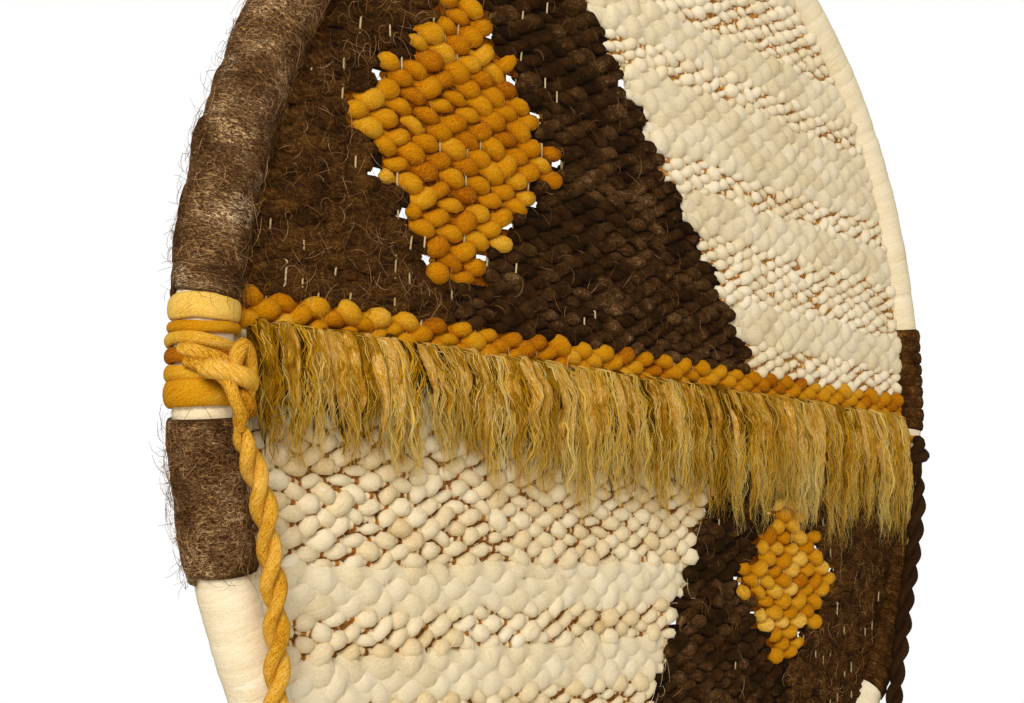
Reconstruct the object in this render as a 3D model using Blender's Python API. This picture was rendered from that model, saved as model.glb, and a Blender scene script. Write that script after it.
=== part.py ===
# Round woven wall hanging: a web of thick wool that fills a bound hoop, with a fringe across its
# middle and a twisted cord hanging from each side. Metres, +Z up, and the front faces -Y.
# The origin is the top of the hoop, where a hook in the wall holds it.
# Places are worked out as (across, up, forward) from the middle of the hoop, in its own plane.
import random
from math import atan2, cos, degrees, hypot, pi, radians, sin, sqrt

import bmesh
import bpy
from mathutils import Vector

# Driving dimensions
hoop_radius = 0.350          # middle of the hoop to the middle of its tube
binding_radius = 0.0135      # the tube with its cream wool binding
gap = 0.0003                 # between pieces that touch
ring_stations = 96           # sections round the whole hoop
tube_sides = 12
web_front = 0.008            # the web's two faces, forward of the middle of the tube
web_back = -0.002
web_relief = 0.0012          # how far thick and thin rows stand above or below the web's face
cord_radius = 0.006
cord_step = 0.024            # between two sections of a cord

hoop_middle_z = -(hoop_radius + binding_radius)

cream = (0.82, 0.74, 0.58, 1.0)
brown = (0.045, 0.026, 0.014, 1.0)
dark_brown = (0.030, 0.016, 0.009, 1.0)
gold = (0.62, 0.33, 0.05, 1.0)
straw = (0.42, 0.29, 0.10, 1.0)

# Wool wound over the binding. Angles in degrees from the hoop's right, anticlockwise.
wraps = [
    {"name": "wrap_brown_upper_left", "start": 100.0, "end": 177.4, "outer": 0.0180, "colour": brown},
    {"name": "wrap_gold_left", "start": 177.7, "end": 185.4, "outer": 0.0175, "colour": gold},
    {"name": "wrap_brown_lower_left", "start": 186.6, "end": 198.4, "outer": 0.0180, "colour": brown},
    {"name": "wrap_brown_lower_right", "start": 324.0, "end": 354.6, "outer": 0.0160, "colour": brown},
    {"name": "wrap_gold_right", "start": 354.9, "end": 358.5, "outer": 0.0160, "colour": gold},
    {"name": "wrap_brown_right", "start": 358.8, "end": 373.2, "outer": 0.0160, "colour": brown},
]
wrap_end_length = 0.0035     # each end of a wrap rounds down over this length
wrap_end_share = 0.45        # of its thickness that is left at the very end

fringe = {
    "left": -0.326,
    "right": 0.318,
    "locks": 27,
    "head_up": 0.006,        # above the hoop's middle
    "head_height": 0.012,
    "left_length": 0.064,    # locks grow longer from left to right
    "right_length": 0.098,
    "length_spread": 0.06,
    "side_drift": 0.005,     # how far a lock's tip hangs to the right of its knot
}
# One lock from its knot to its tip: share of its length, share of its width that is left,
# how far its back stands off the web, and its thickness.
lock_sections = [
    {"down": 0.00, "width": 1.00, "stand_off": gap, "thickness": 0.006},
    {"down": 0.15, "width": 1.00, "stand_off": gap, "thickness": 0.009},
    {"down": 0.30, "width": 0.86, "stand_off": 0.0034, "thickness": 0.010},
    {"down": 0.55, "width": 0.84, "stand_off": 0.0042, "thickness": 0.009},
    {"down": 0.80, "width": 0.74, "stand_off": 0.0040, "thickness": 0.007},
    {"down": 1.00, "width": 0.40, "stand_off": 0.0036, "thickness": 0.004},
]
shared_sections = 2          # the knots' two sections run on from lock to lock

# Knots on the hoop: place and half sizes as (across, up, forward).
knots = [
    {"name": "knot_gold", "place": (-0.3490, -0.0240, 0.0270), "half": (0.0110, 0.0180, 0.0092),
     "colour": gold},
    {"name": "knot_brown", "place": (0.3336, -0.0240, 0.0198), "half": (0.0100, 0.0150, 0.0090),
     "colour": dark_brown},
]

# Routes of the two cords, as (across, up, forward), from their knots down to their ends.
gold_route = [
    (-0.3484, -0.0433, 0.0266),
    (-0.3440, -0.0530, 0.0257),
    (-0.3368, -0.0640, 0.0244),
    (-0.3300, -0.0800, 0.0238),
    (-0.3250, -0.1030, 0.0238),
    (-0.3210, -0.1210, 0.0234),
    (-0.3176, -0.1440, 0.0226),
    (-0.3160, -0.1660, 0.0216),
    (-0.3152, -0.1900, 0.0203),
    (-0.3148, -0.2200, 0.0190),
    (-0.3145, -0.2500, 0.0180),
    (-0.3144, -0.2800, 0.0174),
    (-0.3143, -0.3080, 0.0170),
]
brown_route = [
    (0.3330, -0.0396, 0.0208),
    (0.3310, -0.0560, 0.0222),
    (0.3262, -0.0760, 0.0232),
    (0.3206, -0.0980, 0.0236),
    (0.3115, -0.1250, 0.0236),
    (0.3042, -0.1500, 0.0234),
    (0.2982, -0.1720, 0.0234),
    (0.2932, -0.1920, 0.0234),
    (0.2896, -0.2100, 0.0226),
    (0.2870, -0.2320, 0.0208),
    (0.2858, -0.2560, 0.0192),
    (0.2852, -0.2820, 0.0180),
    (0.2850, -0.3080, 0.0174),
]
cords = [
    {"name": "gold", "route": gold_route, "colour": gold},
    {"name": "brown", "route": brown_route, "colour": dark_brown},
]
# A cord's end, knotted and then frayed: how far down from its top, and its radius there.
end_profile = [
    {"down": 0.000, "radius": 0.0055},
    {"down": 0.004, "radius": 0.0085},
    {"down": 0.009, "radius": 0.0095},
    {"down": 0.014, "radius": 0.0080},
    {"down": 0.017, "radius": 0.0062},
    {"down": 0.026, "radius": 0.0082},
    {"down": 0.038, "radius": 0.0098},
    {"down": 0.044, "radius": 0.0070},
]


def place(across, up, forward):
    """A point of the hoop's own plane in the part's frame."""
    return Vector((across, -forward, hoop_middle_z + up))


def make_material(name, colour, roughness):
    material = bpy.data.materials.new(name)
    material.use_nodes = True
    shader = material.node_tree.nodes["Principled BSDF"]
    shader.inputs["Base Color"].default_value = colour
    shader.inputs["Roughness"].default_value = roughness
    shader.inputs["Metallic"].default_value = 0.0
    return material


def finish(bm, name, colour):
    """Turns a bmesh into a named object with its own material."""
    bmesh.ops.recalc_face_normals(bm, faces=bm.faces)
    mesh = bpy.data.meshes.new(name)
    bm.to_mesh(mesh)
    bm.free()
    mesh.shade_smooth()
    mesh.set_sharp_from_angle(angle=radians(40))
    mesh.materials.append(make_material(name + "_wool", colour, 0.95))
    made = bpy.data.objects.new(name, mesh)
    bpy.context.scene.collection.objects.link(made)
    return made


def tube_loop(angle, radius):
    """The points of one section across the hoop's tube."""
    points = []
    for side in range(tube_sides):
        turn = 2 * pi * side / tube_sides
        out = hoop_radius + radius * cos(turn)
        points.append(place(out * cos(angle), out * sin(angle), radius * sin(turn)))
    return points


def skin(loops):
    """A closed skin over loops of equal length, with the last joined to the first."""
    bm = bmesh.new()
    rings = [[bm.verts.new(point) for point in loop] for loop in loops]
    for ring, following in zip(rings, rings[1:] + rings[:1]):
        for index in range(len(ring)):
            after = (index + 1) % len(ring)
            bm.faces.new((ring[index], ring[after], following[after], following[index]))
    return bm


def make_hoop():
    step = 2 * pi / ring_stations
    loops = [tube_loop(step * station, binding_radius) for station in range(ring_stations)]
    return finish(skin(loops), "hoop", cream)


def make_wrap(wrap):
    """A sleeve over the binding, with rounded ends."""
    start = radians(wrap["start"])
    end = radians(wrap["end"])
    inner = binding_radius + gap
    outer = wrap["outer"]
    rounding = wrap_end_length / hoop_radius
    step = 2 * pi / ring_stations
    first = int(start / step) + 1
    last = int(end / step)
    middle = [step * station for station in range(first, last + 1)]
    middle = [angle for angle in middle if start + 1.5 * rounding < angle < end - 1.5 * rounding]
    low = inner + wrap_end_share * (outer - inner)
    sections = [(start, low), (start + rounding, outer)]
    sections += [(angle, outer) for angle in middle]
    sections += [(end - rounding, outer), (end, low)]
    loops = [tube_loop(angle, radius) for angle, radius in sections]
    loops += [tube_loop(angle, inner) for angle, radius in reversed(sections)]
    return finish(skin(loops), wrap["name"], wrap["colour"])


def tube_radius_at(angle_degrees):
    """Outer radius of the hoop's tube beside the web: its widest wrap within one section."""
    margin = 360 / ring_stations + 0.01
    radii = [binding_radius]
    for wrap in wraps:
        for turn in (0, 360):
            if wrap["start"] - margin < angle_degrees + turn < wrap["end"] + margin:
                radii.append(wrap["outer"])
    return max(radii)


def web_relief_at(across, up):
    """Gentle unevenness of the web, none at its rim and under the fringe's knots."""
    share = hypot(across, up) / hoop_radius
    rim = max(0.0, 1 - (share / 0.9) ** 4)
    from_fringe = abs(up - fringe["head_up"] + fringe["head_height"] / 2)
    free = min(1.0, max(0.0, (from_fringe - 0.022) / 0.02))
    wave = 0.6 * sin(across * 61 + 1.3) * cos(up * 47) + 0.4 * sin(up * 93 + across * 18)
    return web_relief * rim * free * wave


def make_web():
    """The woven cloth: a square grid drawn out to the round, then thickened."""
    bm = bmesh.new()
    cells = ring_stations // 4
    bmesh.ops.create_grid(bm, x_segments=cells, y_segments=cells, size=1)
    for vert in bm.verts:
        side = sqrt(2) * sin(vert.co.x * pi / 4)
        rise = sqrt(2) * sin(vert.co.y * pi / 4)
        across = side * sqrt(max(0.0, 1 - rise * rise / 2))
        up = rise * sqrt(max(0.0, 1 - side * side / 2))
        share = hypot(across, up)
        angle = degrees(atan2(up, across)) % 360
        narrowest = hoop_radius - 0.018 - gap
        edge = hoop_radius - tube_radius_at(angle) - gap
        radius = narrowest + (edge - narrowest) * (share > 0.999)
        across *= radius
        up *= radius
        vert.co = place(across, up, web_back + web_relief_at(across, up))
    flat = list(bm.faces)
    made = bmesh.ops.extrude_face_region(bm, geom=flat, use_keep_orig=True)
    for item in made["geom"]:
        if isinstance(item, bmesh.types.BMVert):
            item.co.y -= web_front - web_back
    return finish(bm, "web", brown)


def make_fringe():
    """The row of locks as one comb: a run of knots with the locks hanging from it."""
    chance = random.Random(7)
    bm = bmesh.new()
    thickness = bm.verts.layers.float.new("thickness")
    pitch = (fringe["right"] - fringe["left"]) / fringe["locks"]

    def add(across, up, section):
        vert = bm.verts.new(place(across, up, web_front + section["stand_off"]))
        vert[thickness] = section["thickness"]
        return vert

    head = []
    for edge in range(fringe["locks"] + 1):
        across = fringe["left"] + pitch * edge
        sag = 0.0015 * sin(across * 23)
        rows = []
        for row, section in enumerate(lock_sections[:shared_sections]):
            rows.append(add(across, fringe["head_up"] + sag - row * fringe["head_height"], section))
        head.append(rows)
    for lock in range(fringe["locks"]):
        share = (lock + 0.5) / fringe["locks"]
        length = fringe["left_length"] + (fringe["right_length"] - fringe["left_length"]) * share
        length *= 1 + fringe["length_spread"] * chance.uniform(-1, 1)
        left_rows = list(head[lock])
        right_rows = list(head[lock + 1])
        middle = fringe["left"] + pitch * (lock + 0.5)
        for section in lock_sections[shared_sections:]:
            drift = fringe["side_drift"] * section["down"] ** 0.7
            half = pitch * section["width"] / 2
            up = fringe["head_up"] - length * section["down"]
            left_rows.append(add(middle + drift - half, up, section))
            right_rows.append(add(middle + drift + half, up, section))
        for row in range(len(lock_sections) - 1):
            bm.faces.new((left_rows[row], right_rows[row], right_rows[row + 1], left_rows[row + 1]))
    made = bmesh.ops.extrude_face_region(bm, geom=list(bm.faces), use_keep_orig=True)
    for item in made["geom"]:
        if isinstance(item, bmesh.types.BMVert):
            item.co.y -= item[thickness]
    return finish(bm, "fringe", straw)


def make_knot(knot):
    bm = bmesh.new()
    bmesh.ops.create_uvsphere(bm, u_segments=12, v_segments=8, radius=1)
    across, up, forward = knot["half"]
    bmesh.ops.scale(bm, vec=(across, forward, up), verts=bm.verts)
    bmesh.ops.translate(bm, vec=place(*knot["place"]), verts=bm.verts)
    return finish(bm, knot["name"], knot["colour"])


def smooth_route(route, step):
    """Points about one step apart on a smooth curve through all of a route's own points."""
    fixed = [place(*point) for point in route]
    padded = [2 * fixed[0] - fixed[1]] + fixed + [2 * fixed[-1] - fixed[-2]]
    fine = []
    for index in range(1, len(padded) - 2):
        before, start, end, after = padded[index - 1:index + 3]
        for part in range(20):
            t = part / 20
            fine.append(0.5 * (2 * start + (end - before) * t
                               + (2 * before - 5 * start + 4 * end - after) * t ** 2
                               + (3 * start - before - 3 * end + after) * t ** 3))
    fine.append(fixed[-1])
    runs = [0.0]
    for start, end in zip(fine, fine[1:]):
        runs.append(runs[-1] + (end - start).length)
    count = max(2, round(runs[-1] / step) + 1)
    points = []
    for number in range(count):
        wanted = runs[-1] * number / (count - 1)
        index = 0
        while index < len(runs) - 2 and runs[index + 1] < wanted:
            index += 1
        share = (wanted - runs[index]) / (runs[index + 1] - runs[index])
        points.append(fine[index].lerp(fine[index + 1], share))
    return points


def make_cord(cord):
    """A plain tube along the cord's whole route."""
    name = "cord_" + cord["name"]
    points = smooth_route(cord["route"], cord_step)
    curve = bpy.data.curves.new(name, "CURVE")
    curve.dimensions = "3D"
    curve.bevel_depth = cord_radius
    curve.bevel_resolution = 2
    curve.use_fill_caps = True
    spline = curve.splines.new("POLY")
    spline.points.add(len(points) - 1)
    for point, spot in zip(spline.points, points):
        point.co = (*spot, 1.0)
    curve.materials.append(make_material(name + "_wool", cord["colour"], 0.9))
    made = bpy.data.objects.new(name, curve)
    bpy.context.scene.collection.objects.link(made)
    return made


def make_cord_end(cord):
    """The knot and frayed tuft under a cord, turned from one profile."""
    points = smooth_route(cord["route"], cord_step)
    top = points[-1] - Vector((0, 0, gap))
    bm = bmesh.new()
    spine = [bm.verts.new(top)]
    for row in end_profile:
        spine.append(bm.verts.new(top + Vector((row["radius"], 0, -row["down"]))))
    spine.append(bm.verts.new(top - Vector((0, 0, end_profile[-1]["down"]))))
    edges = [bm.edges.new(pair) for pair in zip(spine, spine[1:])]
    bmesh.ops.spin(bm, geom=spine + edges, cent=top, axis=(0, 0, 1), angle=2 * pi,
                   steps=tube_sides, use_merge=True)
    bmesh.ops.remove_doubles(bm, verts=bm.verts, dist=1e-6)
    return finish(bm, "end_" + cord["name"], cord["colour"])


def main():
    for existing in list(bpy.data.objects):
        bpy.data.objects.remove(existing)
    make_hoop()
    for wrap in wraps:
        make_wrap(wrap)
    make_web()
    make_fringe()
    for knot in knots:
        make_knot(knot)
    for cord in cords:
        make_cord(cord)
        make_cord_end(cord)


main()
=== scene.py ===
import random
from collections import namedtuple
from math import cos, floor, hypot, pi, radians, sin, sqrt

import bmesh
import bpy
from mathutils import Matrix, Vector, noise


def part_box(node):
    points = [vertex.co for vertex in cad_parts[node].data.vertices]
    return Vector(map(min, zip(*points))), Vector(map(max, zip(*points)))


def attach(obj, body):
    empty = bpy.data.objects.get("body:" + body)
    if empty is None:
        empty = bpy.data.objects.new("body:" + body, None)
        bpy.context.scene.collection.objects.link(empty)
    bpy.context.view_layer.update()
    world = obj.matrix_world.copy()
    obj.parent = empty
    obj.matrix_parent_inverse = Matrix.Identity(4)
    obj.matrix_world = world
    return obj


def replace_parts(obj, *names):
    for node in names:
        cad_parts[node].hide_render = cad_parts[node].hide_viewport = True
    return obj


# Round woven wall hanging on a wool-bound hoop: thick wefts on thin cotton warps, a mohair fringe
# across the middle, and a two-ply cord on each side. Sizes in the dictionaries are millimetres.
# Places are (across, up, forward) from the middle of the hoop.
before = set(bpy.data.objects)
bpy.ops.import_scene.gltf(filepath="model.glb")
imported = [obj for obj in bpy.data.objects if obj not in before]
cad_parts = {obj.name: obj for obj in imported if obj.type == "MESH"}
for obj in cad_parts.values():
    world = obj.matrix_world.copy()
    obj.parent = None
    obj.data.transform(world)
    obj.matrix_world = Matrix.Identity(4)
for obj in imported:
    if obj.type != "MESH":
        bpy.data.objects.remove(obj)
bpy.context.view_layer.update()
mm = 0.001
hoopLow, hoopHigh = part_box("hoop")
tubeRadius = (hoopHigh[1] - hoopLow[1]) / 2 / mm
hoopRadius = (hoopHigh[0] - hoopLow[0]) / 2 / mm - tubeRadius
hoopMiddle = (hoopHigh[2] + hoopLow[2]) / 2

# One point of a strand: its place, its half thickness, its shade from 0 to 1, how much of the
# yarn's core shows, and for flat yarn the way that its flat side faces.
Spot = namedtuple("Spot", "at radius tone core facing", defaults=(0.5, 0.0, (0, 0, 1)))


def place(across, up, forward):
    return Vector((across * mm, -forward * mm, hoopMiddle + up * mm))


def linear(hexColour):
    channels = [int(hexColour[start:start + 2], 16) / 255 for start in (1, 3, 5)]
    return [c / 12.92 if c <= 0.04045 else ((c + 0.055) / 1.055) ** 2.4 for c in channels] + [1.0]


def link(tree, source, socket):  # a node stands for its first output
    tree.links.new(source.outputs[0] if hasattr(source, "outputs") else source, socket)


def addNode(tree, kind, values=None, links=None, stops=(), **settings):
    # stops: places and colours along a colour ramp
    node = tree.nodes.new(kind)
    for key, value in settings.items():
        setattr(node, key, value)
    for key, value in (values or {}).items():
        node.inputs[key].default_value = value
    for key, source in (links or {}).items():
        link(tree, source, node.inputs[key])
    while stops and len(node.color_ramp.elements) < len(stops):
        node.color_ramp.elements.new(0.5)
    for number, (position, colour) in enumerate(stops):
        node.color_ramp.elements[number].position = position
        node.color_ramp.elements[number].color = linear(colour)
    return node


def blend(low, high, share):
    return low + (high - low) * share


def ease(low, high, value):
    share = min(1.0, max(0.0, (value - low) / (high - low)))
    return share * share * (3 - 2 * share)


def drift(*point):  # smooth noise, about -1 to 1
    return 1.6 * noise.noise(Vector(point))


print("camera and lights")

cameraSettings = {
    "location": (-0.7976, -0.5667, -0.4447),
    "right": (0.64602, -0.76286, 0.02654),
    "up": (-0.09771, -0.04816, 0.99405),
    "focalLength": 54.84,
    "sensorWidth": 36.0,
}
lightSettings = {
    "worldColour": "#FFF7E8",
    "lampColour": "#FFF6E4",
    "backdropColour": "#FFFFFF",
    "worldStrength": 0.40,
    "backdropStrength": 1.0,
    "lamps": [
        {"name": "key_light", "at": (-1.8, -1.1, 0.5), "size": 1.1, "power": 40.0},
        {"name": "fill_light", "at": (1.2, -2.6, 0.4), "size": 2.2, "power": 7.0},
    ],
    "aim": (0.0, 0.0, -0.36),
}


def makeCamera(settings):
    data = bpy.data.cameras.new("camera")
    data.lens = settings["focalLength"]
    data.sensor_width = settings["sensorWidth"]
    data.clip_start = 0.01
    right = Vector(settings["right"])
    up = Vector(settings["up"])
    turn = Matrix((right, up, right.cross(up))).transposed()
    camera = bpy.data.objects.new("camera", data)
    camera.matrix_world = Matrix.Translation(settings["location"]) @ turn.to_4x4()
    bpy.context.scene.collection.objects.link(camera)
    bpy.context.scene.camera = camera


def makeLights(settings):
    world = bpy.data.worlds.new("studio")
    world.use_nodes = True
    tree = world.node_tree
    tree.nodes.clear()
    soft = addNode(tree, "ShaderNodeBackground", {"Color": linear(settings["worldColour"]),
                                                  "Strength": settings["worldStrength"]})
    plain = addNode(tree, "ShaderNodeBackground", {"Color": linear(settings["backdropColour"]),
                                                   "Strength": settings["backdropStrength"]})
    ray = addNode(tree, "ShaderNodeLightPath")
    mix = addNode(tree, "ShaderNodeMixShader", links={0: ray.outputs["Is Camera Ray"], 1: soft, 2: plain})
    addNode(tree, "ShaderNodeOutputWorld", links={"Surface": mix})
    bpy.context.scene.world = world
    for lamp in settings["lamps"]:
        data = bpy.data.lights.new(lamp["name"], "AREA")
        data.shape = "DISK"
        data.size = lamp["size"]
        data.energy = lamp["power"]
        data.color = linear(settings["lampColour"])[:3]
        light = bpy.data.objects.new(lamp["name"], data)
        aim = Vector(settings["aim"]) - Vector(lamp["at"])
        light.rotation_euler = aim.to_track_quat("-Z", "Y").to_euler()
        light.location = lamp["at"]
        bpy.context.scene.collection.objects.link(light)
    bpy.context.scene.view_settings.view_transform = "Standard"


def makeFloor(height, radius):
    bm = bmesh.new()
    bmesh.ops.create_circle(bm, cap_ends=True, segments=64, radius=radius)
    bmesh.ops.translate(bm, vec=(0, 0, height), verts=bm.verts)
    mesh = bpy.data.meshes.new("floor")
    bm.to_mesh(mesh)
    bm.free()
    paint = bpy.data.materials.new("matt_white_paint")  # plain and pale, gives back soft light only
    paint.use_nodes = True
    shader = paint.node_tree.nodes["Principled BSDF"]
    shader.inputs["Base Color"].default_value = linear("#F4F2EE")
    shader.inputs["Roughness"].default_value = 0.9
    mesh.materials.append(paint)
    floor_ = bpy.data.objects.new("floor", mesh)
    bpy.context.scene.collection.objects.link(floor_)


makeCamera(cameraSettings)
makeLights(lightSettings)
makeFloor(height=-1.2, radius=3.0)


sweepGroups = {}  # one for each section


def sweepGroup(sides, thick, across):
    # Geometry Nodes: chains of edges become curves, and a round or flat section is swept along them.
    key = (sides, thick, across)
    if key in sweepGroups:
        return sweepGroups[key]
    tree = bpy.data.node_groups.new("sweep", "GeometryNodeTree")
    tree.interface.new_socket("Geometry", in_out="INPUT", socket_type="NodeSocketGeometry")
    tree.interface.new_socket("Geometry", in_out="OUTPUT", socket_type="NodeSocketGeometry")
    lines = addNode(tree, "GeometryNodeMeshToCurve", links={"Mesh": addNode(tree, "NodeGroupInput")})
    if thick != across:
        facing = addNode(tree, "GeometryNodeInputNamedAttribute", {"Name": "facing"},
                         data_type="FLOAT_VECTOR")
        lines = addNode(tree, "GeometryNodeSetCurveNormal", mode="FREE",
                        links={"Curve": lines, "Normal": facing})
    run = addNode(tree, "GeometryNodeSplineParameter")
    measured = addNode(tree, "GeometryNodeStoreNamedAttribute", {"Name": "along"}, data_type="FLOAT",
                       links={"Geometry": lines, "Value": run.outputs["Length"]})
    ring = addNode(tree, "GeometryNodeCurvePrimitiveCircle", {"Resolution": sides, "Radius": 1.0})
    spot = addNode(tree, "GeometryNodeInputPosition")
    marked = addNode(tree, "GeometryNodeStoreNamedAttribute", {"Name": "rim"}, data_type="FLOAT_VECTOR",
                     links={"Geometry": ring, "Value": spot})
    section = addNode(tree, "GeometryNodeTransform", {"Scale": (thick, across, 1.0)}, {"Geometry": marked})
    size = addNode(tree, "GeometryNodeInputNamedAttribute", {"Name": "radius"}, data_type="FLOAT")
    swept = addNode(tree, "GeometryNodeCurveToMesh", {"Fill Caps": True},
                    {"Curve": measured, "Profile Curve": section, "Scale": size})
    addNode(tree, "NodeGroupOutput", links={0: addNode(tree, "GeometryNodeSetShadeSmooth", links={0: swept})})
    sweepGroups[key] = tree
    return tree


def sweep(name, strands, material, sides=8, thick=1.0, across=1.0):
    # One piece of many strands, each a list of spots.
    bm = bmesh.new()
    radius = bm.verts.layers.float.new("radius")
    tone = bm.verts.layers.float.new("tone")
    core = bm.verts.layers.float.new("core")
    facing = bm.verts.layers.float_vector.new("facing")
    for strand in strands:
        before = None
        for spot in strand:
            vert = bm.verts.new(spot.at)
            vert[radius] = spot.radius * mm
            vert[tone] = spot.tone
            vert[core] = spot.core
            vert[facing] = spot.facing
            if before:
                bm.edges.new((before, vert))
            before = vert
    mesh = bpy.data.meshes.new(name + "_lines")
    bm.to_mesh(mesh)
    bm.free()
    lines = bpy.data.objects.new(name + "_lines", mesh)
    bpy.context.scene.collection.objects.link(lines)
    lines.modifiers.new("sweep", "NODES").node_group = sweepGroup(sides, thick, across)
    graph = bpy.context.evaluated_depsgraph_get()
    made = bpy.data.meshes.new_from_object(lines.evaluated_get(graph), depsgraph=graph)
    made.name = name
    bpy.data.objects.remove(lines)
    bpy.data.meshes.remove(mesh)
    return finishPiece(name, made, material)


def finishPiece(name, mesh, material):
    # A mesh becomes a piece that rides on the root.
    mesh.materials.clear()
    mesh.materials.append(material)
    piece = bpy.data.objects.new(name, mesh)
    bpy.context.scene.collection.objects.link(piece)
    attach(piece, "root")
    mesh.calc_loop_triangles()
    print("  ", name, len(mesh.loop_triangles), "triangles")
    return piece


def smoothRoute(fixed, step):
    # Points about one step apart on a smooth curve through all of a route's own points, in metres.
    padded = [2 * fixed[0] - fixed[1]] + fixed + [2 * fixed[-1] - fixed[-2]]
    fine = []
    for index in range(1, len(padded) - 2):
        before, start, end, after = padded[index - 1:index + 3]
        for part in range(20):
            t = part / 20
            fine.append(0.5 * (2 * start + (end - before) * t
                               + (2 * before - 5 * start + 4 * end - after) * t ** 2
                               + (3 * start - before - 3 * end + after) * t ** 3))
    fine.append(fixed[-1])
    runs = [0.0]
    for start, end in zip(fine, fine[1:]):
        runs.append(runs[-1] + (end - start).length)
    count = max(2, round(runs[-1] / step) + 1)
    points = []
    index = 0
    for number in range(count):
        wanted = runs[-1] * number / (count - 1)
        while index < len(runs) - 2 and runs[index + 1] < wanted:
            index += 1
        share = (wanted - runs[index]) / (runs[index + 1] - runs[index])
        points.append(fine[index].lerp(fine[index + 1], share))
    return points, runs[-1]


print("materials")


def newMaterial(name, *attributes):
    # A material with its shader, what it reads off the strands, and the place on the piece.
    material = bpy.data.materials.new(name)
    material.use_nodes = True
    tree = material.node_tree
    shader = tree.nodes["Principled BSDF"]
    shader.inputs["Metallic"].default_value = 0.0
    shader.inputs["IOR"].default_value = 1.45
    read = {key: addNode(tree, "ShaderNodeAttribute", attribute_name=key).outputs for key in attributes}
    solid = addNode(tree, "ShaderNodeTexCoord").outputs["Object"]
    return material, tree, shader, read, solid


def finishMaterial(tree, shader, colour, height, bump, roughness, lustre):
    # bump: strength and height in mm
    strength, distance = bump
    link(tree, colour, shader.inputs["Base Color"])
    if strength:
        relief = addNode(tree, "ShaderNodeBump", {"Strength": strength, "Distance": distance * mm},
                         {"Height": height})
        link(tree, relief, shader.inputs["Normal"])
    shader.inputs["Roughness"].default_value = roughness
    shader.inputs["Specular IOR Level"].default_value = lustre


def mixedShade(tree, terms):
    # One half and each value's distance from one half, times its weight.
    base = 0.5 - 0.5 * sum(weight for _, weight in terms)
    total = None
    for value, weight in terms:
        links = {0: value, 2: total} if total else {0: value}
        total = addNode(tree, "ShaderNodeMath", {1: weight, 2: base}, links, operation="MULTIPLY_ADD")
    return total


def strandSpot(tree, around, run):  # a place on the strand as if it lay straight
    return addNode(tree, "ShaderNodeVectorMath", operation="ADD",
                   links={0: around, 1: addNode(tree, "ShaderNodeCombineXYZ", links={"Z": run})})


def yarnMaterial(look):
    # Spun wool: matt, its fibres run round the strand with the twist.
    material, tree, shader, read, solid = newMaterial(look["name"], "rim", "along", "tone")
    fibreWidth, fibreLength, fibreContrast = look["fibre"]
    fuzzSize, fuzzContrast = look["fuzz"]
    blotchSize, blotchContrast = look["blotch"]
    angle = addNode(tree, "ShaderNodeMath", {1: 2 * pi / (look["twistLength"] * mm)},
                    {0: read["along"]["Fac"]}, operation="MULTIPLY")
    turned = addNode(tree, "ShaderNodeVectorRotate", rotation_type="Z_AXIS",
                     links={"Vector": read["rim"]["Vector"], "Angle": angle})
    around = addNode(tree, "ShaderNodeVectorMath", {"Scale": look["strandRadius"] / fibreWidth}, {0: turned},
                     operation="SCALE")
    run = addNode(tree, "ShaderNodeMath", {1: 1 / (fibreLength * mm)}, {0: read["along"]["Fac"]},
                  operation="MULTIPLY")
    fibres = addNode(tree, "ShaderNodeTexNoise", {"Scale": 1.0, "Detail": 4.0, "Roughness": 0.68,
                                                  "Distortion": 0.5},
                     {"Vector": strandSpot(tree, around, run)})
    blotches = addNode(tree, "ShaderNodeTexNoise", {"Scale": 1 / (blotchSize * mm), "Detail": 1.0},
                       {"Vector": solid})
    fuzz = addNode(tree, "ShaderNodeTexNoise", {"Scale": 1 / (fuzzSize * mm), "Detail": 2.0},
                   {"Vector": solid})
    shade = mixedShade(tree, [(fibres, fibreContrast), (fuzz, fuzzContrast), (blotches, blotchContrast),
                              (read["tone"]["Fac"], look["toneContrast"])])
    colour = addNode(tree, "ShaderNodeValToRGB", links={"Fac": shade}, stops=look["colours"])
    if "coreColours" in look:
        core = addNode(tree, "ShaderNodeAttribute", attribute_name="core")
        bare = addNode(tree, "ShaderNodeMapRange", {"From Min": 0.42, "From Max": 0.72},
                       {"Value": core.outputs["Fac"]}, interpolation_type="SMOOTHSTEP")
        inner = addNode(tree, "ShaderNodeValToRGB", links={"Fac": shade}, stops=look["coreColours"])
        colour = addNode(tree, "ShaderNodeMix", data_type="RGBA",
                         links={0: bare, 6: colour, 7: inner}).outputs[2]
    height = addNode(tree, "ShaderNodeMath", {1: 0.6}, {0: fuzz, 2: fibres}, operation="MULTIPLY_ADD")
    finishMaterial(tree, shader, colour, height, look["bump"], look["roughness"], lustre=0.15)
    return material


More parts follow.
